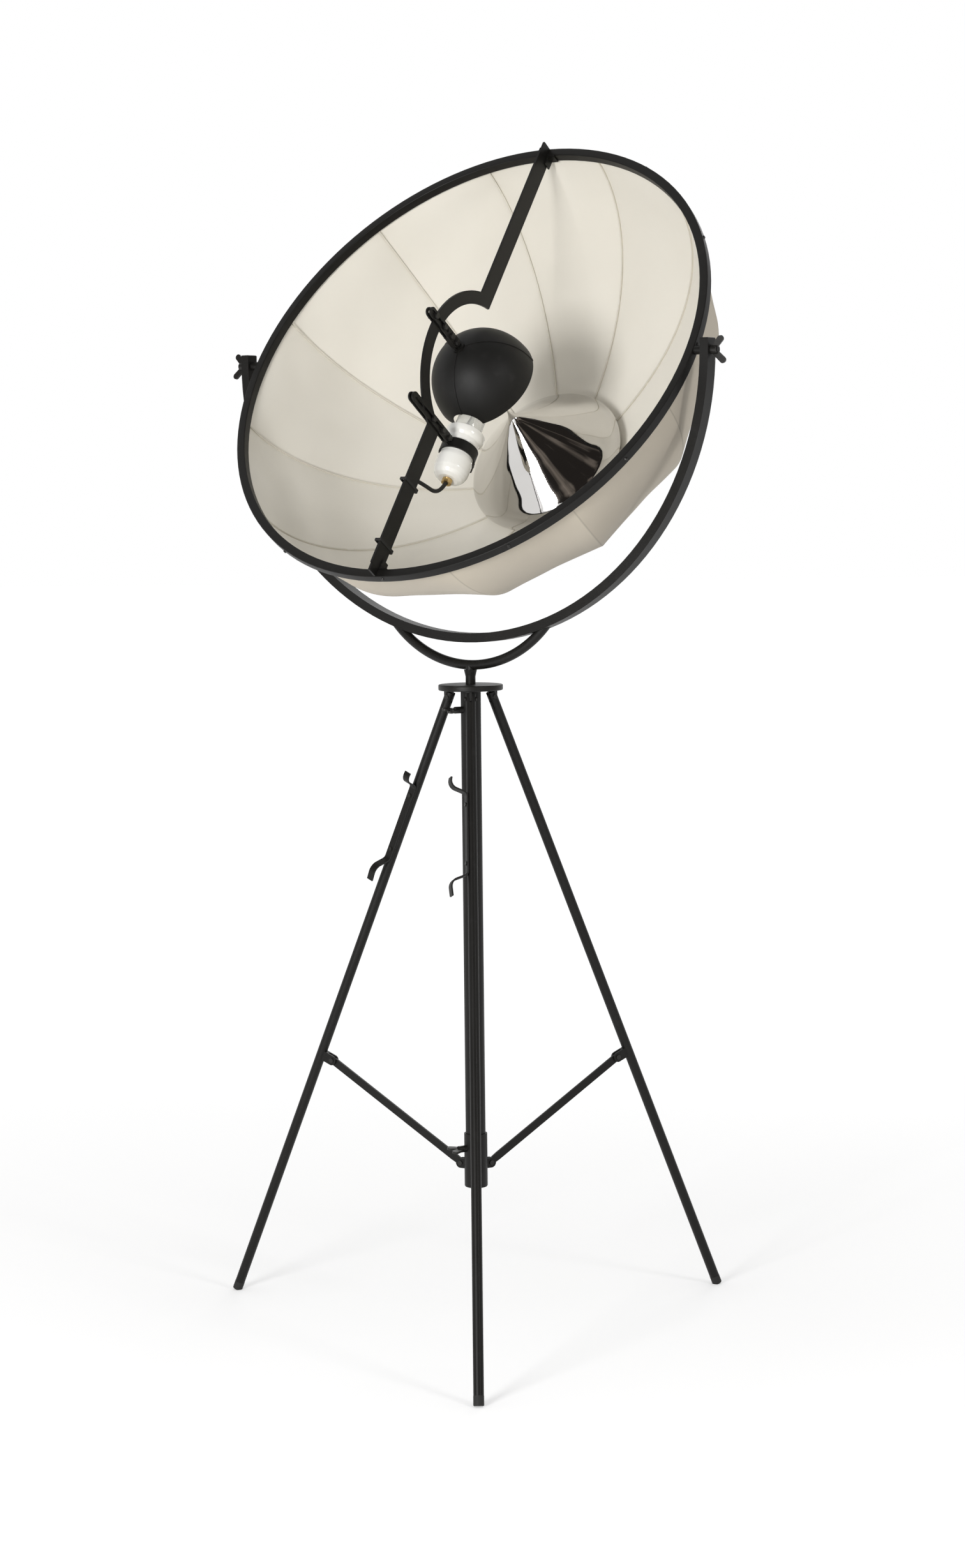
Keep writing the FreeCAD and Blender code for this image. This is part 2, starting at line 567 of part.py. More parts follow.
def rib_sheet(inset):
    """Upright slice of the rib's ellipse, drawn in from the canopy's inside."""
    outline = Part.Ellipse(V(0, 0, 0), CANOPY_R - inset, CANOPY_D - inset).toShape()
    slice_ = Part.Face(Part.Wire([outline])).extrude(V(0, 0, 2 * RIB_R))
    slice_.rotate(V(0, 0, 0), V(1, 0, 0), 90)
    slice_.translate(V(0, RIB_R, 0))
    return slice_


rib = rib_sheet(0.4).cut(rib_sheet(0.4 + 2 * RIB_R))
rib = rib.common(block(APEX_R - 6, RIM_R, -9, 9, -CANOPY_D - 9, -HALF_RIM)).cut(apex_plate)
rib = sorted(rib.Solids, key=lambda s: s.Volume)[-1]
save_shade("ribs", [turned(rib, RIB_TURN + k * RIM_STEP) for k in range(GORES)])
save_shade("apex_plate", [apex_plate])
cap = Part.makeCone(APEX_R - 14, APEX_R - 4, 5, V(0, 0, outer_deep - 5))
cap = cap.cut(rod(V(0, 0, outer_deep - 9), V(0, 0, 0), BOLT_HOLE))
save_shade("apex_cap", [cap])
stay = rod(V(0, 0, outer_deep - 5), V(0, 0, MIRROR_TIP - 45), BOLT_HOLE)
nut_body = rod(V(0, 0, outer_deep - 5), V(0, 0, outer_deep - 10), 8.0)
stay = stay.fuse(nut_body).fuse(Part.makeSphere(7.0, V(0, 0, outer_deep - 10))).removeSplitter()

# ---------------------------------------------------------------- mirror
spider = tube(V(0, 0, inner_deep + 3), V(0, 0, inner_deep + 7), 14.0, BOLT_HOLE)
for k in range(3):
    arm = rod(V(11, 0, inner_deep + 5.5), V(FLANGE_R - 20, 0, MIRROR_W - 4), 2.0)
    spider = spider.fuse(turned(arm, k * 120))
save_shade("mirror_spider", [spider.fuse(stay).removeSplitter()])
flange = tube(V(0, 0, MIRROR_W - FLANGE_T), V(0, 0, MIRROR_W), FLANGE_R, FLANGE_R - FLANGE_W)


MIRROR_LINE = ((0.9365, 0.0), (0.962, 0.034), (0.993, 0.084), (1.0, 0.118), (0.99, 0.152), (0.962, 0.191))
MIRROR_LINE = MIRROR_LINE + ((0.915, 0.233), (0.792, 0.32), (0.662, 0.416), (0.532, 0.511), (0.396, 0.607))
MIRROR_LINE = MIRROR_LINE + ((0.266, 0.702), (0.15, 0.787), (0.068, 0.854), (0.027, 0.916), (0.008, 0.972))


def ogee(draw_in, lift, count):
    """Profile of the mirror from its foot: a rounded bulge, then a cone hollowing to a fine tip."""
    shares = MIRROR_LINE[:count]
    points = [V(MIRROR_R * r - draw_in, 0, MIRROR_W + MIRROR_H * h - lift) for r, h in shares]
    curve = Part.BSplineCurve()
    curve.interpolate(points)
    return curve, points


outer_curve, outer_points = ogee(0.0, 0.0, len(MIRROR_LINE))
inner_curve, inner_points = ogee(1.4, 1.2, len(MIRROR_LINE) - 3)
tip_point = V(0, 0, MIRROR_TIP)
inner_tip = V(0, 0, inner_points[-1].z)
edges = [outer_curve.toShape()]
edges.append(Part.LineSegment(outer_points[-1], tip_point).toShape())
edges.append(Part.LineSegment(tip_point, inner_tip).toShape())
edges.append(Part.LineSegment(inner_tip, inner_points[-1]).toShape())
edges.append(inner_curve.toShape())
edges.append(Part.LineSegment(inner_points[0], outer_points[0]).toShape())
mirror = Part.Face(Part.Wire(Part.__sortEdges__(edges))).revolve(V(0, 0, 0), V(0, 0, 1), 360)
under = block(-MIRROR_R, MIRROR_R, -MIRROR_R, MIRROR_R, MIRROR_W - 20, MIRROR_W)
mirror = mirror.cut(under)
save_shade("mirror_cone", [mirror.fuse(flange).removeSplitter()])

# ---------------------------------------------------------------- crossbar
HALF_BAR = BAR_T / 2
bow = rod(V(-HALF_BAR, BOW_V, BOW_W), V(HALF_BAR, BOW_V, BOW_W), BOW_R + BOW_BAND)
bow = bow.cut(block(-9, 9, -RIM_R, RIM_R, BOW_W - 2 * BOW_R, BAR_LOW))
for side in (1, -1):
    v = sorted((BOW_V + side * (BOW_R - 2), side * (RIM_IN - 0.2)))
    bow = bow.fuse(block(-HALF_BAR, HALF_BAR, v[0], v[1], BAR_LOW, BAR_HIGH))
    v = sorted((side * (RIM_IN - 20), side * (RIM_R - 1)))
    bow = bow.fuse(block(-HALF_BAR, HALF_BAR, v[0], v[1], LAP_LOW, LAP_HIGH))
bow = bow.cut(rod(V(-9, BOW_V, BOW_W), V(9, BOW_V, BOW_W), BOW_R))
for w in LAMP_BOLTS[:1]:
    bow = bow.cut(rod(V(-9, LAMP_V, w), V(9, LAMP_V, w), BOLT_R))

for side in (1, -1):
    v = sorted((side * (RIM_IN - 0.2), side * (RIM_IN - 19)))
    plate = block(HALF_BAR, HALF_BAR + 2.5, v[0], v[1], -HALF_RIM, LAP_LOW)
    v = sorted((side * (RIM_IN - 0.2), side * (RIM_IN - 3)))
    plate = plate.fuse(block(HALF_BAR, HALF_BAR + 15, v[0], v[1], -HALF_RIM, LAP_LOW))
    bow = bow.fuse(plate)
save_shade("crossbar", [bow.removeSplitter()])


def bolt(v, w, inner, outer):
    """Hexagon-headed bolt across the straps, nut on the far side."""
    shape = rod(V(-inner, v, w), V(inner, v, w), BOLT_R)
    for side, depth in ((1, 4.0), (-1, 4.5)):
        corners = []
        for k in range(7):
            a = math.radians(60 * k)
            corners.append(V(side * outer, v + 5.6 * math.cos(a), w + 5.6 * math.sin(a)))
        shape = shape.fuse(Part.Face(Part.makePolygon(corners)).extrude(V(side * depth, 0, 0)))
    return shape.fuse(rod(V(-outer, v, w), V(outer, v, w), BOLT_R)).removeSplitter()


# ---------------------------------------------------------------- hood arm
arm_in = HALF_BAR + ARM_PLAY
arm_out = arm_in + STRAP_T


def bow_bolt_w(radius):
    return BOW_W + math.sqrt(radius ** 2 - BOW_V ** 2)


clamp_high = bow_bolt_w(BOW_R + BOW_BAND + BOLT_R + CLEAR)
clamp_low = bow_bolt_w(BOW_R - BOLT_R - CLEAR)
save_shade("hood_clamp_bolts", [bolt(0, w, arm_out, arm_out + ARM_PLAY) for w in (clamp_low, clamp_high)])

hood_straps = []
for side in (1, -1):
    u = sorted((side * arm_in, side * arm_out))
    strap = slab(u[0], u[1], 0, HOOD_ARM_LOW, HOOD_ARM_HIGH, STRAP_W)
    window = slab(-9, 9, 0, clamp_low - 11 - BOLT_R, clamp_high + 11 + BOLT_R, 2 * (BOLT_R + CLEAR))
    strap = strap.cut(window)
    for w in HOOD_BOLTS:
        strap = strap.cut(rod(V(-9, 0, w), V(9, 0, w), BOLT_R))
    hood_straps.append(strap)
save_shade("hood_straps", hood_straps)
save_shade("hood_bolts", [bolt(0, w, arm_out, arm_out) for w in HOOD_BOLTS])


def ellipsoid(r, d):
    """Upper half of an ellipsoid standing on the hood's opening plane."""
    flat = Part.Ellipse(V(0, d, 0), V(r, 0, 0), V(0, 0, 0)) if d > r else Part.Ellipse(V(0, 0, 0), r, d)
    start = V(r, 0, 0)
    crown = V(0, d, 0)
    middle = V(r * math.cos(math.pi / 4), d * math.sin(math.pi / 4), 0)
    low = flat.parameter(start)
    high = flat.parameter(crown)
    arc_edge = flat.toShape(min(low, high), max(low, high))
    if abs(arc_edge.distToShape(Part.Vertex(middle))[0]) > 0.1:
        arc_edge = flat.toShape(max(low, high), min(low, high) + 2 * math.pi)
    lines = [Part.LineSegment(crown, V(0, 0, 0)).toShape(), Part.LineSegment(V(0, 0, 0), start).toShape()]
    face = Part.Face(Part.Wire(Part.__sortEdges__([arc_edge] + lines)))
    shape = face.revolve(V(0, 0, 0), V(0, 1, 0), 360)
    shape.rotate(V(0, 0, 0), V(1, 0, 0), 90)
    shape.translate(V(0, 0, HOOD_W))
    return shape


notch = rod(V(0, 0, HOOD_W), V(0, -2 * HOOD_R, HOOD_W), NOTCH_R)
hood_solid = ellipsoid(HOOD_R, HOOD_D)
hood = hood_solid.cut(ellipsoid(HOOD_R - HOOD_T, HOOD_D - HOOD_T)).cut(notch)
SEAM_T = 0.9
SEAM_W = 5.0
seam_shell = ellipsoid(HOOD_R + SEAM_T, HOOD_D + SEAM_T).cut(hood_solid).cut(notch)
PAD_R = 12.0
seam_shell = seam_shell.cut(rod(V(0, 0, 0), V(0, 0, 60), PAD_R))
for k in range(3):
    strip = block(0, HOOD_R * 2, -SEAM_W / 2, SEAM_W / 2, HOOD_W - 1, HOOD_W + HOOD_D * 2)
    hood = hood.fuse(seam_shell.common(turned(strip, 30 + 120 * k)))
save_shade("hood_dome", [hood])

pole = HOOD_W + HOOD_D
tang = slab(-arm_in, arm_in, 0, pole - 6, HOOD_BOLTS[1] + STRAP_W / 2, STRAP_W)
tang = tang.fuse(rod(V(0, 0, pole - 4), V(0, 0, pole + 3), PAD_R - 0.5))
tang = tang.cut(hood_solid)
for w in HOOD_BOLTS:
    tang = tang.cut(rod(V(-9, 0, w), V(9, 0, w), BOLT_R))
save_shade("hood_tang", [tang.removeSplitter()])

# ---------------------------------------------------------------- lamp arm
strap_out = HALF_BAR + STRAP_T
lamp_straps = []
for side in (1, -1):
    u = sorted((side * HALF_BAR, side * strap_out))
    strap = slab(u[0], u[1], LAMP_V, LAMP_ARM_LOW, LAMP_ARM_HIGH, STRAP_W)
    window = slab(-9, 9, LAMP_V, LAMP_BOLTS[1] - BOLT_R, LAMP_ARM_HIGH - 10, 2 * BOLT_R)
    strap = strap.cut(window)
    strap = strap.cut(rod(V(-9, LAMP_V, EAR_BOLT), V(9, LAMP_V, EAR_BOLT), BOLT_R))
    lamp_straps.append(strap)
save_shade("lamp_straps", lamp_straps)
lamp_bolts = [bolt(LAMP_V, w, strap_out, strap_out) for w in LAMP_BOLTS + (EAR_BOLT,)]

band_in = HOLDER_R + RUN
band_out = band_in + BAND_T
v_low = LAMP_V - BAND_W / 2
v_high = LAMP_V + BAND_W / 2
holder_axis = V(0, 0, HOLDER_W)
band = tube(V(0, v_low, HOLDER_W), V(0, v_high, HOLDER_W), band_out, band_in)
ear = slab(-HALF_BAR, HALF_BAR, LAMP_V, HOLDER_W + HOLDER_R - 6, EAR_BOLT + STRAP_W / 2, STRAP_W)
ear = ear.cut(rod(V(-9, LAMP_V, EAR_BOLT), V(9, LAMP_V, EAR_BOLT), BOLT_R))
lower_ears = block(-4, 4, v_low, v_high, HOLDER_W - band_out - 14, HOLDER_W - HOLDER_R)
band = band.fuse(ear).fuse(lower_ears)
band = band.cut(rod(V(0, v_low - 9, HOLDER_W), V(0, v_high + 9, HOLDER_W), band_in))
band = band.cut(block(-1, 1, v_low - 1, v_high + 1, HOLDER_W - band_out - 20, HOLDER_W - HOLDER_R + 5))
clamp_w = HOLDER_W - band_out - 7
band = band.cut(rod(V(-9, LAMP_V, clamp_w), V(9, LAMP_V, clamp_w), 2.5)).removeSplitter()
save_shade("holder_clamp", [band])
clamp_screw = rod(V(-7, LAMP_V, clamp_w), V(4, LAMP_V, clamp_w), 2.5)
clamp_screw = clamp_screw.fuse(rod(V(4, LAMP_V, clamp_w), V(7, LAMP_V, clamp_w), 4.5))
clamp_screw = clamp_screw.fuse(rod(V(-7.5, LAMP_V, clamp_w), V(-4, LAMP_V, clamp_w), 4.5))
save_shade("lamp_bolts", lamp_bolts + [clamp_screw.removeSplitter()])


# ---------------------------------------------------------------- lampholder and bulb, turned about v
def lathe(profile):
    """profile: (radius, v) pairs round a closed outline."""
    points = [V(r, v, HOLDER_W) for r, v in profile]
    return revolved(points, holder_axis, V(0, 1, 0))


BODY_FOOT = -205.0
SHELL_FOOT = -172.0
SHELL_TOP = -120.0
NIPPLE_BORE = LEAD_R + 0.7
BELLY_R = HOLDER_R + 1.5
outline = [(NIPPLE_R, BODY_FOOT), (19, BODY_FOOT), (27, BODY_FOOT + 6), (BELLY_R, BODY_FOOT + 18)]
outline = outline + [(BELLY_R, -168), (HOLDER_R, -162), (HOLDER_R, -125), (SKIRT_R, -120), (SKIRT_R, SKIRT_TOP)]
outline = outline + [(29, SKIRT_TOP), (27.5, SHELL_TOP + 2), (SHELL_R, SHELL_TOP), (SHELL_R, SHELL_FOOT)]
outline = outline + [(NIPPLE_R, SHELL_FOOT)]
save_shade("holder_porcelain", [lathe(outline)])
nipple = [(NIPPLE_BORE, NIPPLE_FOOT), (NIPPLE_R + 2.5, NIPPLE_FOOT), (NIPPLE_R + 2.5, BODY_FOOT)]
nipple = nipple + [(NIPPLE_R, BODY_FOOT), (NIPPLE_R, SHELL_FOOT), (NIPPLE_BORE, SHELL_FOOT)]
save_shade("holder_nipple", [lathe(nipple)])
sleeve_wall = 1.0
shell = [(SHELL_R - sleeve_wall, SHELL_FOOT + 1), (SHELL_R, SHELL_FOOT + 1)]
shell = shell + [(SHELL_R, SHELL_TOP), (SHELL_R - sleeve_wall, SHELL_TOP)]
contact = [(0, SHELL_FOOT), (9, SHELL_FOOT), (9, SHELL_FOOT + 2), (4, SHELL_FOOT + 6), (0, SHELL_FOOT + 6)]
save_shade("holder_contacts", [lathe(shell), lathe(contact)])

CAP_R = SHELL_R - sleeve_wall
GLASS_T = 1.2
cap_foot = SHELL_FOOT + 6
cap_line = [(0, cap_foot), (6, cap_foot), (CAP_R - 5, cap_foot + 8), (CAP_R, cap_foot + 12), (CAP_R, SHELL_TOP + 6)]
cap_line = cap_line + [(CAP_R - 1, SHELL_TOP + 6), (CAP_R - 1, cap_foot + 13), (0, cap_foot + 8)]
save_shade("bulb_cap", [lathe(cap_line)])


def bulb_line(shrink):
    """Glass outline from neck to tip: straight neck, cone, then a ball of 40 radius."""
    ball = 40.0
    centre = 10.0
    line = [(CAP_R - 1 - shrink, SHELL_TOP - 8), (CAP_R - 1 - shrink, SHELL_TOP + 6)]
    line = line + [(23.5 - shrink, SHELL_TOP + 12), (24.5 - shrink, -70.0)]
    for a in range(-40, 90, 10):
        b = math.radians(a)
        line.append(((ball - shrink) * math.cos(b), centre + (ball - shrink) * math.sin(b)))
    line.append((0, centre + ball - shrink))
    return line


glass_line = bulb_line(0.0) + list(reversed(bulb_line(GLASS_T)))
save_shade("bulb_glass", [lathe(glass_line)])
flare = CAP_R - 1 - GLASS_T
post = [(0, SHELL_TOP - 6), (flare, SHELL_TOP - 6), (flare, SHELL_TOP - 4), (8, SHELL_TOP + 20)]
post = post + [(3.5, SHELL_TOP + 45), (3.5, -35), (0, -35)]
save_shade("bulb_post", [lathe(post)])
ring = Part.makeTorus(16, 0.8, V(0, -22, HOLDER_W), V(0, 1, 0))
for side in (1, -1):
    foot_at = V(side * 3.0, -38, HOLDER_W)
    ring = ring.fuse(rod(foot_at, V(side * 16, -22, HOLDER_W), 0.8))
ring = ring.cut(rod(V(0, -60, HOLDER_W), V(0, -35, HOLDER_W), 3.5)).removeSplitter()
save_shade("bulb_filament", [ring])

# ---------------------------------------------------------------- lead, ties and grommet
LEAD_U = lead_in.x
LEAD_W = 9.0
lead_points = [V(0, SHELL_FOOT - 24, HOLDER_W), V(0, -240, HOLDER_W)]
lead_points = lead_points + [V(LEAD_U, -250, -18), V(LEAD_U, -260, LEAD_W)]
lead_points = lead_points + [V(LEAD_U, 26.7 - RIM_IN, LEAD_W), V(LEAD_U, 10.7 - RIM_IN, lead_in.z), lead_in - V(0, 7, 0)]
lead_path = route(lead_points, [14.0, 14.0, 14.0, 12.0, 10.0])
lead = swept(lead_path, Part.Wire([Part.makeCircle(LEAD_R, lead_points[0], V(0, 1, 0))]))
save_shade("lead", [lead])
grommet = tube(lead_in + V(0, 2, 0), lead_in - V(0, 7, 0), LEAD_R + 1.5, LEAD_R)
grommet = grommet.fuse(tube(lead_in + V(0, 2, 0), lead_in + V(0, 0.3, 0), LEAD_R + 3, LEAD_R))
save_shade("lead_grommet", [grommet.cut(rim).cut(bow).removeSplitter()])

TIE_T = 1.2
TIE_L = 5.0
ties = []
for v in (-277.0, 42.7 - RIM_IN):
    u0 = LEAD_U - LEAD_R
    outer = block(u0 - TIE_T, HALF_BAR + TIE_T, v, v + TIE_L, BAR_LOW - TIE_T, BAR_HIGH + TIE_T)
    tie = outer.cut(block(u0, HALF_BAR, v - 1, v + TIE_L + 1, BAR_LOW, BAR_HIGH))
    tie = tie.fuse(block(-3, 2, v - 1, v + TIE_L + 1, BAR_LOW - TIE_T - 6, BAR_LOW - TIE_T))
    ties.append(tie.removeSplitter())
save_shade("lead_ties", ties)
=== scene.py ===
import bmesh
import bpy
import json
import math
from mathutils import Matrix, Vector, noise


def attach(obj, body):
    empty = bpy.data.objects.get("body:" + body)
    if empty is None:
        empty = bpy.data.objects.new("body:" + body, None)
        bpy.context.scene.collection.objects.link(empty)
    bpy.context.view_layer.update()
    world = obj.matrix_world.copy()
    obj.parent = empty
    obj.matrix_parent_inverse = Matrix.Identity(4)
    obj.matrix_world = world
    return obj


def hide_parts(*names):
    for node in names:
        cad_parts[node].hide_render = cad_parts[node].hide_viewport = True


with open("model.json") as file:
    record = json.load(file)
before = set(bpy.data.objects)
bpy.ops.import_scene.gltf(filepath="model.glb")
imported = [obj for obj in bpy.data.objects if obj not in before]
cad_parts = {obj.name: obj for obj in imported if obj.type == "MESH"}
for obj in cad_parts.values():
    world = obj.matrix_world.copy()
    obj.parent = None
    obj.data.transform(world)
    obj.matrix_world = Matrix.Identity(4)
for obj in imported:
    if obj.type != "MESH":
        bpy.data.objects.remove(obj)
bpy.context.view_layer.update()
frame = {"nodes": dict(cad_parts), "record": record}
record = frame["record"]
joints = {joint["name"]: joint for joint in record["behaviour"]["joints"]}
slot_of = {part["node"]: part["material_slot"] for part in record["subparts"]}
MM = 0.001

# ------------------------------------------------------------------ the shade's own axes
# u runs along the pivot line, v up the shade and w out of its mouth.
pivot = Vector(joints["shade_tilt"]["pos_m"])
u_axis = Vector(joints["shade_tilt"]["axis"])
v_axis = Vector(joints["holder_slide"]["axis"])
w_axis = Vector(joints["hood_reach"]["axis"])


def shade_point(u, v, w):
    """Point of the frame, in metres, at a place in the shade's axes, in millimetres."""
    return pivot + (u_axis * u + v_axis * v + w_axis * w) * MM


# ------------------------------------------------------------------ sizes, in millimetres
# Canopy: a round bowl of gores, drawn in between its ribs.
GORES = 12
GORE_ANGLE = 360.0 / GORES
FIRST_RIB = 16.5            # angle of the first rib about w, in degrees
CANOPY_R = 450.6            # cloth's outside over a rib, in the plane of the pivots
CANOPY_D = 346.0            # depth of the full bowl
CANOPY_EDGE = -8.0          # hem, in the rim
CANOPY_APEX = -345.0        # last ring, under the apex plate
CLOTH_T = 0.9
DRAW_IN = 0.045             # share that the middle of a gore draws in
DRAW_LENGTH = 60.0          # the way back from the hem in which it does
PULLS = 6                   # small pulls in each gore's hem
PULL_DEPTH = 0.5
PULL_START = 12.0
PULL_LENGTH = 70.0
LOOSE_FOLD = 1.6            # long folds round the bowl
LOOSE_ROUND = 3.0           # how many of them round the bowl, and along it for each mm
LOOSE_ALONG = 0.010
SLANT_FOLD = 2.0            # slanting folds in each gore
FOLD_START = 30.0           # folds begin this far from the hem
FOLD_CALM = 150.0           # and die out nearer the apex than this
GORE_SHARES = (
    0.0, 0.006, 0.02, 0.06, 0.12, 0.2, 0.29, 0.38, 0.46,
    0.54, 0.62, 0.71, 0.8, 0.88, 0.94, 0.98, 0.994,
)
RINGS = 84
MAP_LENGTH = 0.62           # cloth map, in metres: hem to apex
MAP_GORE = 0.3              # from one gore to the next

# Mirror cone: radius and height along its outline, as shares, and its foot.
MIRROR_R = 146.5
MIRROR_BASE = -323.0
MIRROR_H = 178.0
MIRROR_T = 1.4
SKIN_WAVE = 0.13
MIRROR_LINE = (
    (0.9365, 0.0), (0.962, 0.034), (0.993, 0.084), (1.0, 0.118), (0.99, 0.152), (0.962, 0.191),
    (0.915, 0.233), (0.792, 0.32), (0.662, 0.416), (0.532, 0.511), (0.396, 0.607),
    (0.266, 0.702), (0.15, 0.787), (0.068, 0.854), (0.027, 0.916), (0.008, 0.972), (0.0, 1.0),
)
FLANGE_IN = 112.0
FLANGE_R = 138.0
FLANGE_T = 1.9
MIRROR_STEPS = 192

# Lampholder, bulb and lead.
HOLDER_W = -71.5            # their axis
HOLDER_STEPS = 72
PORCELAIN_LINE = (
    (6.5, -204.0), (17.0, -205.0), (24.5, -201.5), (28.5, -196.0), (31.0, -188.5), (31.4, -180.0),
    (31.4, -168.0), (30.0, -162.0), (29.4, -160.5), (29.4, -136.0), (30.0, -134.5), (30.0, -125.5),
    (33.6, -120.5), (34.5, -117.0), (34.5, -108.1), (29.0, -108.1), (27.5, -118.0), (21.4, -120.0),
    (21.4, -171.9), (6.5, -171.9),
)
BULB_NECK = ((19.4, -128.0), (19.4, -114.0), (23.4, -107.0), (24.4, -90.0), (24.6, -72.0))
BULB_R = 40.0
BULB_V = 10.0               # middle of the ball
BULB_JOIN = -38             # where the neck runs into the ball, in degrees
BULB_T = 1.1
LEAD_R = 3.5
LEAD_U = -5.6
LEAD_W = 9.0

# ------------------------------------------------------------------ camera and room, in metres
PHOTO_H = 2457              # height of the photograph, in pixels
FOCAL_PX = 4988.2
CAMERA_PLACE = (0.0, -5.54765, 1.49762)
CAMERA_PITCH = -0.0961
CAMERA_YAW = 0.0034
CAMERA_ROLL = -0.011
SENSOR_H = 24.0
FLOOR_HALF = 40.0
FLOOR_DROP = 0.0005
NEAR_FLOOR = 0.6            # the floor's glow rises from here out, as the lamps fall off
GLOW_RAMP = 5.0
NEAR_GLOW = 0.31            # lifts the lit floor to white and leaves its shadows
FAR_GLOW = 0.60
WHITE = (1.0, 1.0, 1.0)
ROOM_LIGHT = (0.5, 0.5, 0.5)
ROOM_BACK = (0.8, 0.8, 0.8)
ROOM_DARK = (0.022, 0.019, 0.017)
ROOM_DIM = (0.24, 0.205, 0.175)


def photo_camera():
    """Camera of the photograph, solved from the rim, the yoke and the tripod."""
    ahead = Vector((
        math.sin(CAMERA_YAW) * math.cos(CAMERA_PITCH),
        math.cos(CAMERA_YAW) * math.cos(CAMERA_PITCH),
        math.sin(CAMERA_PITCH),
    ))
    right = Vector((math.cos(CAMERA_YAW), -math.sin(CAMERA_YAW), 0.0))
    up = right.cross(ahead)
    tilted_right = right * math.cos(CAMERA_ROLL) + up * math.sin(CAMERA_ROLL)
    tilted_up = up * math.cos(CAMERA_ROLL) - right * math.sin(CAMERA_ROLL)
    data = bpy.data.cameras.new("photo_camera")
    data.sensor_fit = "VERTICAL"
    data.sensor_height = SENSOR_H
    data.lens = FOCAL_PX / PHOTO_H * SENSOR_H
    data.clip_end = 100.0
    camera = bpy.data.objects.new("photo_camera", data)
    turn = Matrix((tilted_right, tilted_up, -ahead)).transposed()
    camera.matrix_world = Matrix.Translation(CAMERA_PLACE) @ turn.to_4x4()
    bpy.context.scene.collection.objects.link(camera)
    bpy.context.scene.camera = camera


photo_camera()


# ------------------------------------------------------------------ shader helpers
def shader_group(name, inputs, outputs):
    group = bpy.data.node_groups.new(name, "ShaderNodeTree")
    for label, kind, value in inputs:
        socket = group.interface.new_socket(label, in_out="INPUT", socket_type=kind)
        socket.default_value = value
    for label in outputs:
        group.interface.new_socket(label, in_out="OUTPUT", socket_type="NodeSocketFloat")
    start = group.nodes.new("NodeGroupInput")
    end = group.nodes.new("NodeGroupOutput")
    return group, start, end


def feed(tree, socket, value):
    """Sets a socket to a number or a colour, or links an output to it."""
    if isinstance(value, (int, float)):
        socket.default_value = value
    elif isinstance(value, tuple):
        socket.default_value = value + (1.0,)
    else:
        tree.links.new(value, socket)


def maths(tree, operation, *values, clamp=False):
    node = tree.nodes.new("ShaderNodeMath")
    node.operation = operation
    node.use_clamp = clamp
    for socket, value in zip(node.inputs, values):
        feed(tree, socket, value)
    return node.outputs[0]


def mixed(tree, factor, first, second):
    node = tree.nodes.new("ShaderNodeMix")
    node.data_type = "RGBA"
    feed(tree, node.inputs["Factor"], factor)
    feed(tree, node.inputs["A"], first)
    feed(tree, node.inputs["B"], second)
    return node.outputs["Result"]


def noise_value(tree, vector, scale, detail):
    node = tree.nodes.new("ShaderNodeTexNoise")
    tree.links.new(vector, node.inputs["Vector"])
    feed(tree, node.inputs["Scale"], scale)
    node.inputs["Detail"].default_value = detail
    return node.outputs["Fac"]


def surface_wear():
    """Slow mottle, fine grain and rubbed high spots, for painted and plain metal."""
    group, start, end = shader_group(
        "surface_wear",
        [
            ("Vector", "NodeSocketVector", (0.0, 0.0, 0.0)),
            ("Grain Scale", "NodeSocketFloat", 900.0),
        ],
        ["Mottle", "Grain", "Rubbed"],
    )
    place = start.outputs["Vector"]
    feed(group, end.inputs["Mottle"], noise_value(group, place, 14.0, 5.0))
    grain = noise_value(group, place, start.outputs["Grain Scale"], 2.0)
    feed(group, end.inputs["Grain"], grain)
    patch = noise_value(group, place, 38.0, 6.0)
    high_spots = maths(group, "SUBTRACT", patch, 0.6)
    feed(group, end.inputs["Rubbed"], maths(group, "MULTIPLY", high_spots, 6.0, clamp=True))
    return group


def cloth_weave():
    """Crossing threads, slubs and faint stains, from the cloth's own map."""
    group, start, end = shader_group(
        "cloth_weave",
        [
            ("Vector", "NodeSocketVector", (0.0, 0.0, 0.0)),
            ("Threads", "NodeSocketFloat", 900.0),
        ],
        ["Height", "Slub", "Stain"],
    )
    place = start.outputs["Vector"]
    split = group.nodes.new("ShaderNodeSeparateXYZ")
    group.links.new(place, split.inputs[0])
    turns = maths(group, "MULTIPLY", start.outputs["Threads"], 2 * math.pi)
    warp = maths(group, "SINE", maths(group, "MULTIPLY", split.outputs[0], turns))
    weft = maths(group, "SINE", maths(group, "MULTIPLY", split.outputs[1], turns))
    crossing = maths(group, "MULTIPLY", warp, weft)
    feed(group, end.inputs["Height"], maths(group, "MULTIPLY_ADD", crossing, 0.5, 0.5))
    feed(group, end.inputs["Slub"], noise_value(group, place, 240.0, 4.0))
    feed(group, end.inputs["Stain"], noise_value(group, place, 5.0, 4.0))
    return group


WEAR = surface_wear()
WEAVE = cloth_weave()


def new_material(name):
    material = bpy.data.materials.new(name)
    material.use_nodes = True
    tree = material.node_tree
    return material, tree, tree.nodes["Principled BSDF"]


def placed_wear(tree, grain_scale):
    node = tree.nodes.new("ShaderNodeGroup")
    node.node_tree = WEAR
    place = tree.nodes.new("ShaderNodeTexCoord").outputs["Object"]
    tree.links.new(place, node.inputs["Vector"])
    node.inputs["Grain Scale"].default_value = grain_scale
    return node.outputs


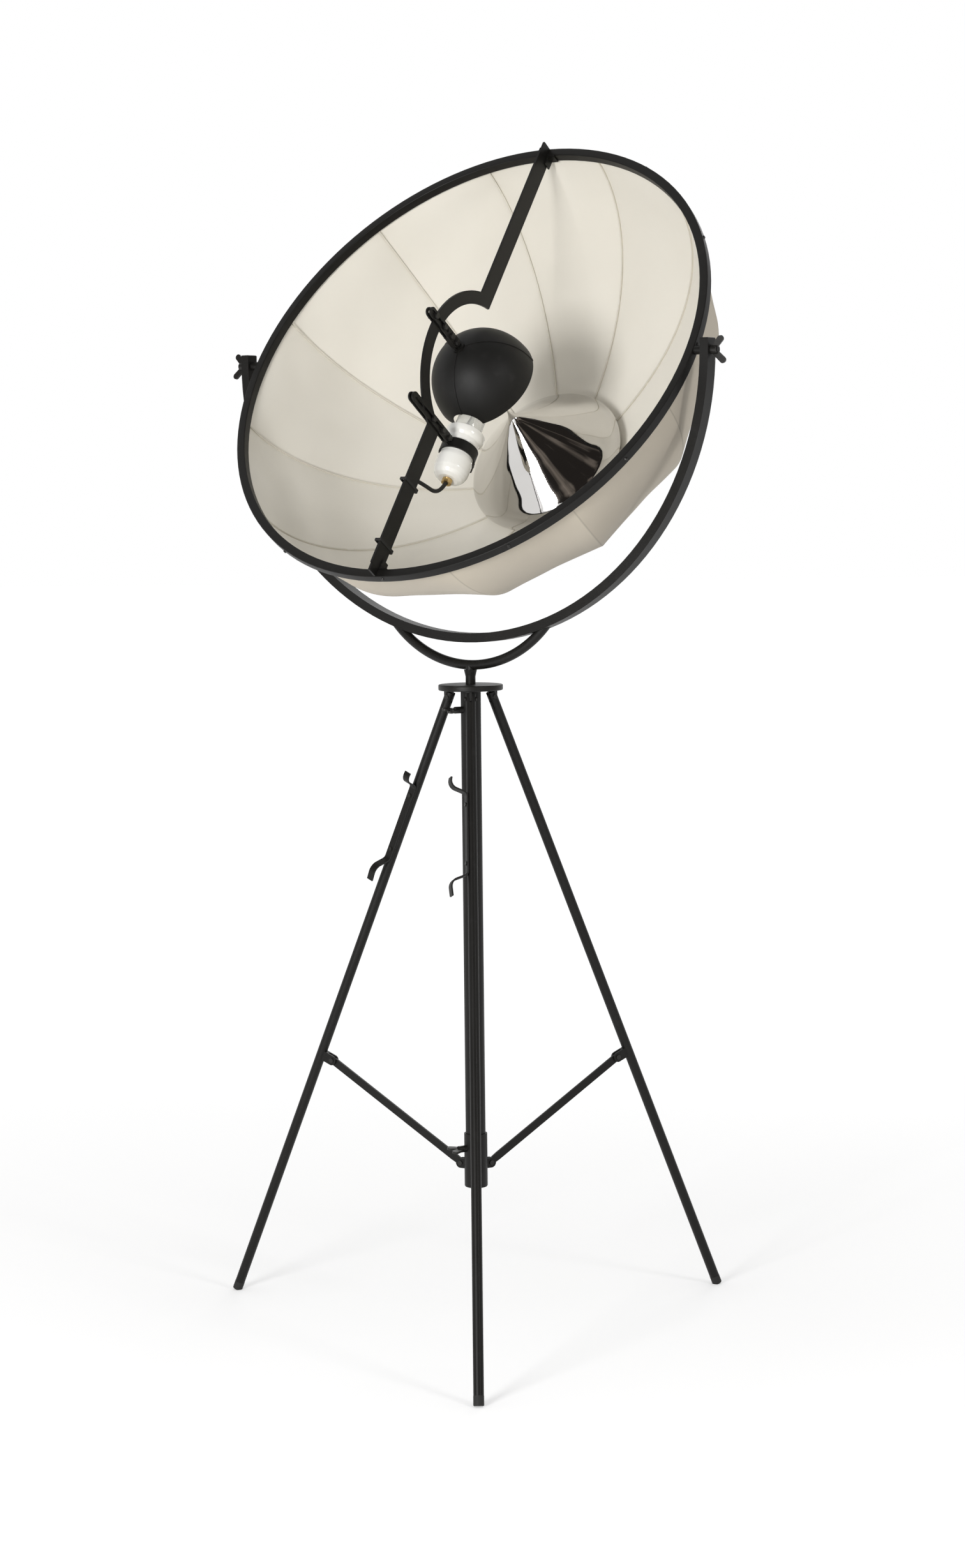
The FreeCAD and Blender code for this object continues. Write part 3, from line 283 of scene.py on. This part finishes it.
def placed_weave(tree, threads):
    node = tree.nodes.new("ShaderNodeGroup")
    node.node_tree = WEAVE
    cloth_map = tree.nodes.new("ShaderNodeUVMap")
    cloth_map.uv_map = "cloth"
    tree.links.new(cloth_map.outputs["UV"], node.inputs["Vector"])
    node.inputs["Threads"].default_value = threads
    return node.outputs


def bumped(tree, shader, height, strength, distance):
    bump = tree.nodes.new("ShaderNodeBump")
    bump.inputs["Strength"].default_value = strength
    bump.inputs["Distance"].default_value = distance
    tree.links.new(height, bump.inputs["Height"])
    tree.links.new(bump.outputs["Normal"], shader.inputs["Normal"])


def roughened(tree, shader, mask, low, high):
    """Roughness from low to high as the mask rises."""
    feed(tree, shader.inputs["Roughness"], maths(tree, "MULTIPLY_ADD", mask, high - low, low))


# ------------------------------------------------------------------ finishes
def metal_finish(name, dark, light, rough, grain, metallic=0.0, specular=0.5):
    """Paint or bare metal. rough: lowest and highest; grain: its scale and its bump."""
    material, tree, shader = new_material(name)
    wear = placed_wear(tree, grain[0])
    colour = mixed(tree, wear["Mottle"], dark, light)
    lighter = tuple(min(1.0, channel * 1.7 + 0.01) for channel in light)
    rubbed = maths(tree, "MULTIPLY", wear["Rubbed"], 0.25)
    feed(tree, shader.inputs["Base Color"], mixed(tree, rubbed, colour, lighter))
    roughened(tree, shader, wear["Mottle"], *rough)
    shader.inputs["Metallic"].default_value = metallic
    shader.inputs["Specular IOR Level"].default_value = specular
    bumped(tree, shader, wear["Grain"], grain[1], 0.0002)
    return material


def fabric_finish(name, pale, deep, seam_shade_colour):
    """Cotton with a raised fold along each seam, and a thin line of painted shade along it for the
    rib's shadow.
    """
    seam_width = 0.0022
    material, tree, shader = new_material(name)
    weave = placed_weave(tree, 900.0)
    body = mixed(tree, weave["Stain"], pale, deep)
    body = mixed(tree, maths(tree, "MULTIPLY", weave["Slub"], 0.12), body, deep)
    gap = tree.nodes.new("ShaderNodeAttribute")
    gap.attribute_name = "seam_gap"
    share = maths(tree, "DIVIDE", gap.outputs["Fac"], seam_width)
    fold = maths(tree, "SUBTRACT", 1.0, share, clamp=True)
    # Painted shade: the cloth is darkened along each seam, where the rib's shadow falls.
    line = maths(tree, "MULTIPLY", fold, 0.5)
    feed(tree, shader.inputs["Base Color"], mixed(tree, line, body, seam_shade_colour))
    shader.inputs["Roughness"].default_value = 0.88
    shader.inputs["Sheen Weight"].default_value = 0.15
    shader.inputs["Specular IOR Level"].default_value = 0.2
    threads = maths(tree, "MULTIPLY_ADD", weave["Slub"], 0.6, weave["Height"])
    height = maths(tree, "ADD", threads, maths(tree, "MULTIPLY", fold, 2.0))
    bumped(tree, shader, height, 0.18, 0.0003)
    return material


def glazed_finish():
    material, tree, shader = new_material("glazed_porcelain")
    wear = placed_wear(tree, 300.0)
    glaze = mixed(tree, wear["Mottle"], (0.80, 0.78, 0.72), (0.87, 0.86, 0.82))
    feed(tree, shader.inputs["Base Color"], glaze)
    shader.inputs["Roughness"].default_value = 0.12
    shader.inputs["Coat Weight"].default_value = 0.5
    bumped(tree, shader, wear["Mottle"], 0.05, 0.001)
    return material


def glass_finish():
    material, tree, shader = new_material("bulb_glass")
    wear = placed_wear(tree, 200.0)
    shader.inputs["Base Color"].default_value = (0.96, 0.97, 0.97, 1.0)
    shader.inputs["Transmission Weight"].default_value = 0.92
    shader.inputs["IOR"].default_value = 1.46
    roughened(tree, shader, wear["Mottle"], 0.02, 0.07)
    return material


def mirror_finish():
    material, tree, shader = new_material("polished_mirror")
    wear = placed_wear(tree, 120.0)
    polish = mixed(tree, wear["Mottle"], (0.58, 0.568, 0.55), (0.68, 0.668, 0.65))
    feed(tree, shader.inputs["Base Color"], polish)
    shader.inputs["Metallic"].default_value = 1.0
    roughened(tree, shader, wear["Mottle"], 0.015, 0.065)
    bumped(tree, shader, wear["Mottle"], 0.02, 0.002)
    return material


PAINT = metal_finish(
    "black_paint", (0.0060, 0.0056, 0.0050), (0.0100, 0.0094, 0.0084),
    rough=(0.36, 0.50), grain=(1400.0, 0.08), specular=0.22,
)
HOOD_PAINT = metal_finish(
    "hood_paint", (0.0060, 0.0058, 0.0054), (0.0090, 0.0087, 0.0080),
    rough=(0.46, 0.60), grain=(1800.0, 0.15), specular=0.28,
)
BOLT_STEEL = metal_finish(
    "blackened_steel", (0.010, 0.0095, 0.0088), (0.024, 0.0225, 0.0200),
    rough=(0.30, 0.46), grain=(1200.0, 0.12), metallic=0.35,
)
BRASS = metal_finish(
    "aged_brass", (0.50, 0.34, 0.13), (0.68, 0.50, 0.24),
    rough=(0.25, 0.42), grain=(900.0, 0.08), metallic=1.0,
)
TUNGSTEN = metal_finish(
    "drawn_wire", (0.32, 0.31, 0.29), (0.42, 0.41, 0.39),
    rough=(0.3, 0.4), grain=(600.0, 0.05), metallic=1.0,
)
RUBBER = metal_finish(
    "black_rubber", (0.014, 0.014, 0.013), (0.022, 0.021, 0.020),
    rough=(0.6, 0.8), grain=(700.0, 0.2), specular=0.35,
)
# Painted shade: the sleeves over the ribs are coloured darker than the cloth, for the shadow beside
# each rib.
RIB_SLEEVE_SHADED = metal_finish(
    "rib_sleeve_painted_shade", (0.60, 0.565, 0.49), (0.70, 0.665, 0.585),
    rough=(0.82, 0.92), grain=(1500.0, 0.2), specular=0.2,
)
CLOTH_IN = fabric_finish(
    "canopy_inside", (0.80, 0.768, 0.692), (0.725, 0.690, 0.612), (0.45, 0.42, 0.36),
)
# Painted shade: the cloth's outside is coloured darker than its inside, for the shade under the bowl.
CLOTH_OUT_SHADED = fabric_finish(
    "canopy_outside_painted_shade", (0.60, 0.54, 0.445), (0.52, 0.465, 0.375), (0.28, 0.25, 0.20),
)
PORCELAIN = glazed_finish()
GLASS = glass_finish()
MIRROR = mirror_finish()

SLOT_FINISH = {
    "black_paint": PAINT,
    "fastener": BOLT_STEEL,
    "brass": BRASS,
    "porcelain": PORCELAIN,
    "bulb_glass": GLASS,
    "tungsten": TUNGSTEN,
    "mirror": MIRROR,
    "canopy_fabric": CLOTH_IN,
    "rubber": RUBBER,
    "lead_jacket": RUBBER,
}
NODE_FINISH = {"ribs": RIB_SLEEVE_SHADED, "hood_dome": HOOD_PAINT}


# ------------------------------------------------------------------ steel and small pieces
def soft_shading_tree():
    """Joins the loose triangles and shades them smooth up to a crease angle."""
    tree = bpy.data.node_groups.new("soft_shading", "GeometryNodeTree")
    for way in ("INPUT", "OUTPUT"):
        tree.interface.new_socket("Geometry", in_out=way, socket_type="NodeSocketGeometry")
    start = tree.nodes.new("NodeGroupInput")
    end = tree.nodes.new("NodeGroupOutput")
    weld = tree.nodes.new("GeometryNodeMergeByDistance")
    weld.inputs["Distance"].default_value = 2e-6
    smooth = tree.nodes.new("GeometryNodeSetShadeSmooth")
    crease = tree.nodes.new("GeometryNodeSetShadeSmooth")
    crease.domain = "EDGE"
    crease.inputs["Shade Smooth"].default_value = False
    angle = tree.nodes.new("GeometryNodeInputMeshEdgeAngle")
    sharp = tree.nodes.new("FunctionNodeCompare")
    sharp.data_type = "FLOAT"
    sharp.operation = "GREATER_THAN"
    sharp.inputs[1].default_value = math.radians(28)
    tree.links.new(start.outputs[0], weld.inputs["Geometry"])
    tree.links.new(weld.outputs[0], smooth.inputs["Geometry"])
    tree.links.new(smooth.outputs[0], crease.inputs["Geometry"])
    tree.links.new(angle.outputs[0], sharp.inputs[0])
    tree.links.new(sharp.outputs[0], crease.inputs["Selection"])
    tree.links.new(crease.outputs[0], end.inputs[0])
    return tree


SOFT_SHADING = soft_shading_tree()
for node, piece in frame["nodes"].items():
    piece.data.materials.clear()
    piece.data.materials.append(NODE_FINISH.get(node, SLOT_FINISH[slot_of[node]]))
    modifier = piece.modifiers.new("soft_shading", "NODES")
    modifier.node_group = SOFT_SHADING


# ------------------------------------------------------------------ mesh helpers
def mesh_piece(name, points, faces, material, smooth=True):
    mesh = bpy.data.meshes.new(name)
    mesh.from_pydata([tuple(point) for point in points], [], faces)
    mesh.materials.append(material)
    for polygon in mesh.polygons:
        polygon.use_smooth = smooth
    piece = bpy.data.objects.new(name, mesh)
    bpy.context.scene.collection.objects.link(piece)
    return piece


def face_outward(piece):
    work = bmesh.new()
    work.from_mesh(piece.data)
    bmesh.ops.remove_doubles(work, verts=work.verts, dist=1e-6)
    bmesh.ops.recalc_face_normals(work, faces=work.faces)
    work.to_mesh(piece.data)
    work.free()


def bound(piece, body, node):
    """Hangs the piece on its body and hides the node that it stands for."""
    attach(piece, body)
    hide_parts(node)


def lathe(name, profile, steps, place, material, crease):
    """Turns a closed outline of (radius, height); place(x, y, height) gives each point."""
    points = []
    faces = []
    count = len(profile)
    for k in range(steps):
        angle = 2 * math.pi * k / steps
        for radius, height in profile:
            points.append(place(radius * math.cos(angle), radius * math.sin(angle), height))
    for k in range(steps):
        here = k * count
        following = (k + 1) % steps * count
        for i in range(count):
            j = (i + 1) % count
            faces.append((here + i, following + i, following + j, here + j))
    piece = mesh_piece(name, points, faces, material)
    face_outward(piece)
    piece.data.set_sharp_from_angle(angle=math.radians(crease))
    return piece


def about_holder(x, y, height):
    return shade_point(x, height, HOLDER_W + y)


def rounded(points, radius=1.2, steps=4):
    """Outline with each corner turned into a short arc."""
    out = []
    for i, corner in enumerate(points):
        here = Vector(corner)
        before = Vector(points[i - 1]) - here
        after = Vector(points[(i + 1) % len(points)]) - here
        cut = min(radius, before.length * 0.45, after.length * 0.45)
        first = here + before.normalized() * cut
        last = here + after.normalized() * cut
        for k in range(steps + 1):
            t = k / steps
            out.append(tuple(first * (1 - t) ** 2 + here * 2 * t * (1 - t) + last * t ** 2))
    return out


# ------------------------------------------------------------------ canopy: one sheet over twelve ribs
def cloth_radius(rib_radius, w, gore, share, angle):
    """Radius at a share of the way across a gore, with its draw, hem pulls and soft folds."""
    back = abs(w - CANOPY_EDGE)
    belly = 1 - (2 * share - 1) ** 2
    draw = DRAW_IN * (1 - math.exp(-back / DRAW_LENGTH))
    radius = rib_radius * (1 - draw * belly)
    pull = math.exp(-back / PULL_LENGTH) * math.cos(2 * math.pi * (share * PULLS))
    pull = pull * PULL_DEPTH * belly * min(1.0, back / PULL_START)
    round_bowl = (math.cos(angle) * LOOSE_ROUND, math.sin(angle) * LOOSE_ROUND, w * LOOSE_ALONG)
    loose = noise.noise(Vector(round_bowl))
    in_gore = (share * 2.2 + w * 0.018, gore * 7.3, share * 3.0 - w * 0.004)
    slant = noise.noise(Vector(in_gore))
    fold = (loose * LOOSE_FOLD + slant * SLANT_FOLD) * belly * min(1.0, back / FOLD_START)
    return radius + (fold + pull) * min(1.0, rib_radius / FOLD_CALM)


def canopy_cloth():
    """The sheet, with each point's distance from its seam and its place on the cloth map."""
    points = []
    gaps = []
    maps = []
    for ring in range(RINGS + 1):
        rise = math.sin(math.pi / 2 * ring / RINGS)
        w = CANOPY_EDGE + (CANOPY_APEX - CANOPY_EDGE) * rise
        rib_radius = CANOPY_R * math.sqrt(max(0.0, 1 - (w / CANOPY_D) ** 2))
        gore_width = rib_radius * math.radians(GORE_ANGLE) * MM
        for gore in range(GORES):
            for share in GORE_SHARES:
                angle = math.radians(FIRST_RIB + (gore + share) * GORE_ANGLE)
                radius = cloth_radius(rib_radius, w, gore, share, angle)
                points.append(shade_point(radius * math.cos(angle), radius * math.sin(angle), w))
                gaps.append(min(share, 1 - share) * gore_width)
                along = MAP_LENGTH * ring / RINGS
                maps.append(((share - 0.5) * gore_width + gore * MAP_GORE, along))
    columns = GORES * len(GORE_SHARES)
    faces = []
    for ring in range(RINGS):
        here = ring * columns
        following = here + columns
        for c in range(columns):
            d = (c + 1) % columns
            faces.append((here + c, here + d, following + d, following + c))
    cloth = mesh_piece("canopy_cloth", points, faces, CLOTH_OUT_SHADED)
    cloth.data.materials.append(CLOTH_IN)
    face_outward(cloth)
    return cloth, gaps, maps


def cloth_attributes(cloth, gaps, maps):
    mesh = cloth.data
    seam = mesh.attributes.new("seam_gap", "FLOAT", "POINT")
    for index, value in enumerate(gaps):
        seam.data[index].value = value
    layer = mesh.uv_layers.new(name="cloth")
    for loop in mesh.loops:
        layer.data[loop.index].uv = maps[loop.vertex_index]


def stretch_canopy():
    cloth, gaps, maps = canopy_cloth()
    cloth_attributes(cloth, gaps, maps)
    polygons = cloth.data.polygons
    if sum(polygon.normal.dot(polygon.center - pivot) for polygon in polygons) < 0:
        cloth.data.flip_normals()
    wall = cloth.modifiers.new("wall", "SOLIDIFY")
    wall.thickness = CLOTH_T * MM
    wall.offset = -1.0
    wall.material_offset = 1
    wall.material_offset_rim = 0
    bound(cloth, "shade", "canopy")


stretch_canopy()


# ------------------------------------------------------------------ mirror cone
def about_mouth_rippled(x, y, height):
    """The polished skin's slight waves, which run up the cone from its foot."""
    turn = math.atan2(y, x)
    wave = math.sin(9 * turn + 0.6) + 0.7 * math.sin(17 * turn + 2.1) + 0.4 * math.sin(26 * turn)
    radius = math.hypot(x, y)
    grow = 1.0 + SKIN_WAVE * wave * min(1.0, radius / MIRROR_R * 2.0) / max(radius, 1.0)
    return shade_point(x * grow, y * grow, height)


def through(p0, p1, p2, p3, t):
    """Smooth curve through p1 and p2, at share t between them."""
    bend = (2 * p0 - 5 * p1 + 4 * p2 - p3) * t ** 2 + (3 * p1 - p0 - 3 * p2 + p3) * t ** 3
    return 0.5 * ((2 * p1) + (p2 - p0) * t + bend)


def mirror_cone():
    """Rounded bulge at the foot, a cone hollowing to a fine tip, and the flange it stands on."""
    line = [Vector(point) for point in MIRROR_LINE]
    last = len(line) - 1
    curve = []
    for i in range(last):
        for k in range(4):
            point = through(line[max(0, i - 1)], line[i], line[i + 1], line[min(last, i + 2)], k / 4)
            curve.append((max(0.0, point.x) * MIRROR_R, MIRROR_BASE + point.y * MIRROR_H))
    outer = curve + [(0.0, MIRROR_BASE + MIRROR_H)]
    inner = []
    for radius, height in reversed(curve):
        if radius > 9.0 and height > MIRROR_BASE + MIRROR_T:
            inner.append((radius - MIRROR_T, height - 1.2))
    neck = [(0.0, inner[0][1])]
    brim = [(FLANGE_IN, MIRROR_BASE), (FLANGE_IN, MIRROR_BASE - FLANGE_T)]
    brim += [(FLANGE_R - 0.4, MIRROR_BASE - FLANGE_T), (FLANGE_R, MIRROR_BASE - 0.4)]
    outline = outer + neck + inner + brim
    piece = lathe("mirror_cone_polished", outline, MIRROR_STEPS, about_mouth_rippled, MIRROR, 40.0)
    bound(piece, "shade", "mirror_cone")


mirror_cone()


# ------------------------------------------------------------------ porcelain holder and bulb
def lampholder():
    outline = rounded(PORCELAIN_LINE)
    piece = lathe("holder_porcelain_glazed", outline, HOLDER_STEPS, about_holder, PORCELAIN, 50.0)
    bound(piece, "lampholder", "holder_porcelain")


def ball_point(degrees):
    angle = math.radians(degrees)
    return BULB_R * math.cos(angle), BULB_V + BULB_R * math.sin(angle)


def bulb():
    """Neck of the bulb, easing out into its ball."""
    outer = list(BULB_NECK)
    start = BULB_NECK[-1]
    join = ball_point(BULB_JOIN)
    for k in range(1, 12):
        t = k / 12
        ease = t * t * (3 - 2 * t)
        outer.append((start[0] + (join[0] - start[0]) * ease, start[1] + (join[1] - start[1]) * t))
    outer += [ball_point(degrees) for degrees in range(BULB_JOIN, 90, 6)]
    outer.append((0.0, BULB_V + BULB_R))
    inner = []
    for radius, height in reversed(outer):
        inner.append((max(0.0, radius - BULB_T), height if radius > 10 else height - BULB_T))
    piece = lathe("bulb_glass_blown", outer + inner, HOLDER_STEPS, about_holder, GLASS, 60.0)
    bound(piece, "lampholder", "bulb_glass")


lampholder()
bulb()


# ------------------------------------------------------------------ lead
def lead_route():
    """The lead's route: out of the holder, over to the bar and along it into the rim."""
    points = [(0.0, -196.0, HOLDER_W), (0.0, -240.0, HOLDER_W)]
    points += [(LEAD_U, -250.0, -18.0), (LEAD_U, -260.0, LEAD_W), (LEAD_U, -289.0, LEAD_W)]
    points += [(LEAD_U, -400.0, LEAD_W), (LEAD_U, -418.0, LEAD_W)]
    points += [(LEAD_U, -434.0, 1.0), (LEAD_U, -451.7, 1.0)]
    return [shade_point(*point) for point in points]


def lead():
    data = bpy.data.curves.new("lampholder_lead", "CURVE")
    data.dimensions = "3D"
    data.bevel_depth = LEAD_R * MM
    data.bevel_resolution = 5
    data.resolution_u = 24
    data.use_fill_caps = True
    spline = data.splines.new("NURBS")
    route = lead_route()
    spline.points.add(len(route) - 1)
    for point, place in zip(spline.points, route):
        point.co = (*place, 1.0)
    spline.use_endpoint_u = True
    spline.order_u = 3
    data.materials.append(RUBBER)
    piece = bpy.data.objects.new("lampholder_lead", data)
    bpy.context.scene.collection.objects.link(piece)
    bound(piece, "shade", "lead")


lead()


# ------------------------------------------------------------------ floor, background and light
def plain_floor():
    """Pale floor that is seen as white and keeps the lamp's shadow."""
    material, tree, shader = new_material("studio_floor")
    shader.inputs["Base Color"].default_value = (0.9, 0.9, 0.9, 1.0)
    shader.inputs["Roughness"].default_value = 0.9
    shader.inputs["Specular IOR Level"].default_value = 0.0
    shader.inputs["Emission Color"].default_value = WHITE + (1.0,)
    rays = tree.nodes.new("ShaderNodeLightPath").outputs
    seen = maths(tree, "MAXIMUM", rays["Is Camera Ray"], rays["Is Glossy Ray"])
    seen = maths(tree, "MAXIMUM", seen, rays["Is Transmission Ray"])
    reach = tree.nodes.new("ShaderNodeVectorMath")
    reach.operation = "LENGTH"
    place = tree.nodes.new("ShaderNodeTexCoord").outputs["Object"]
    tree.links.new(place, reach.inputs[0])
    past_lamp = maths(tree, "SUBTRACT", reach.outputs["Value"], NEAR_FLOOR)
    away = maths(tree, "MULTIPLY", past_lamp, 1 / GLOW_RAMP, clamp=True)
    glow = maths(tree, "MULTIPLY_ADD", away, FAR_GLOW - NEAR_GLOW, NEAR_GLOW)
    feed(tree, shader.inputs["Emission Strength"], maths(tree, "MULTIPLY", seen, glow))
    corners = [(-1, -1), (1, -1), (1, 1), (-1, 1)]
    points = [(x * FLOOR_HALF, y * FLOOR_HALF, 0.0) for x, y in corners]
    floor = mesh_piece("studio_floor", points, [(0, 1, 2, 3)], material, False)
    floor.location.z = -FLOOR_DROP


def studio_world():
    """White behind the lamp and for light; a dim room, in reflections only, on the side it faces."""
    world = bpy.data.worlds.new("studio")
    bpy.context.scene.world = world
    world.use_nodes = True
    tree = world.node_tree
    background = tree.nodes["Background"]
    background.inputs["Strength"].default_value = 1.0
    rays = tree.nodes.new("ShaderNodeLightPath").outputs
    direction = tree.nodes.new("ShaderNodeTexCoord").outputs["Generated"]
    way = tree.nodes.new("ShaderNodeSeparateXYZ")
    tree.links.new(direction, way.inputs[0])
    past_side = maths(tree, "ADD", way.outputs["Y"], 0.15)
    behind = maths(tree, "MULTIPLY", past_side, 2.5, clamp=True)
    patches = maths(tree, "SUBTRACT", noise_value(tree, direction, 4.5, 3.0), 0.45)
    shapes = maths(tree, "MULTIPLY", patches, 5.0, clamp=True)
    reflected = mixed(tree, behind, mixed(tree, shapes, ROOM_DARK, ROOM_DIM), ROOM_BACK)
    lit = mixed(tree, rays["Is Glossy Ray"], ROOM_LIGHT, reflected)
    seen = maths(tree, "MAXIMUM", rays["Is Camera Ray"], rays["Is Transmission Ray"])
    feed(tree, background.inputs["Color"], mixed(tree, seen, lit, WHITE))


def soft_box(name, place, target, size, power):
    data = bpy.data.lights.new(name, "AREA")
    data.shape = "RECTANGLE"
    data.size, data.size_y = size
    data.energy = power
    lamp = bpy.data.objects.new(name, data)
    lamp.location = place
    towards = Vector(target) - Vector(place)
    lamp.rotation_euler = towards.to_track_quat("-Z", "Y").to_euler()
    bpy.context.scene.collection.objects.link(lamp)


plain_floor()
studio_world()
soft_box("key_light", (-2.5, -4.4, 1.45), (0.0, 0.0, 1.6), (1.3, 1.5), 165.0)
soft_box("fill_light", (3.4, -3.6, 3.0), (0.0, 0.0, 1.3), (0.9, 1.8), 45.0)
soft_box("back_light", (1.2, 4.2, 3.4), (0.0, 0.0, 1.4), (2.0, 1.4), 22.0)

bpy.context.scene.view_settings.view_transform = "Standard"
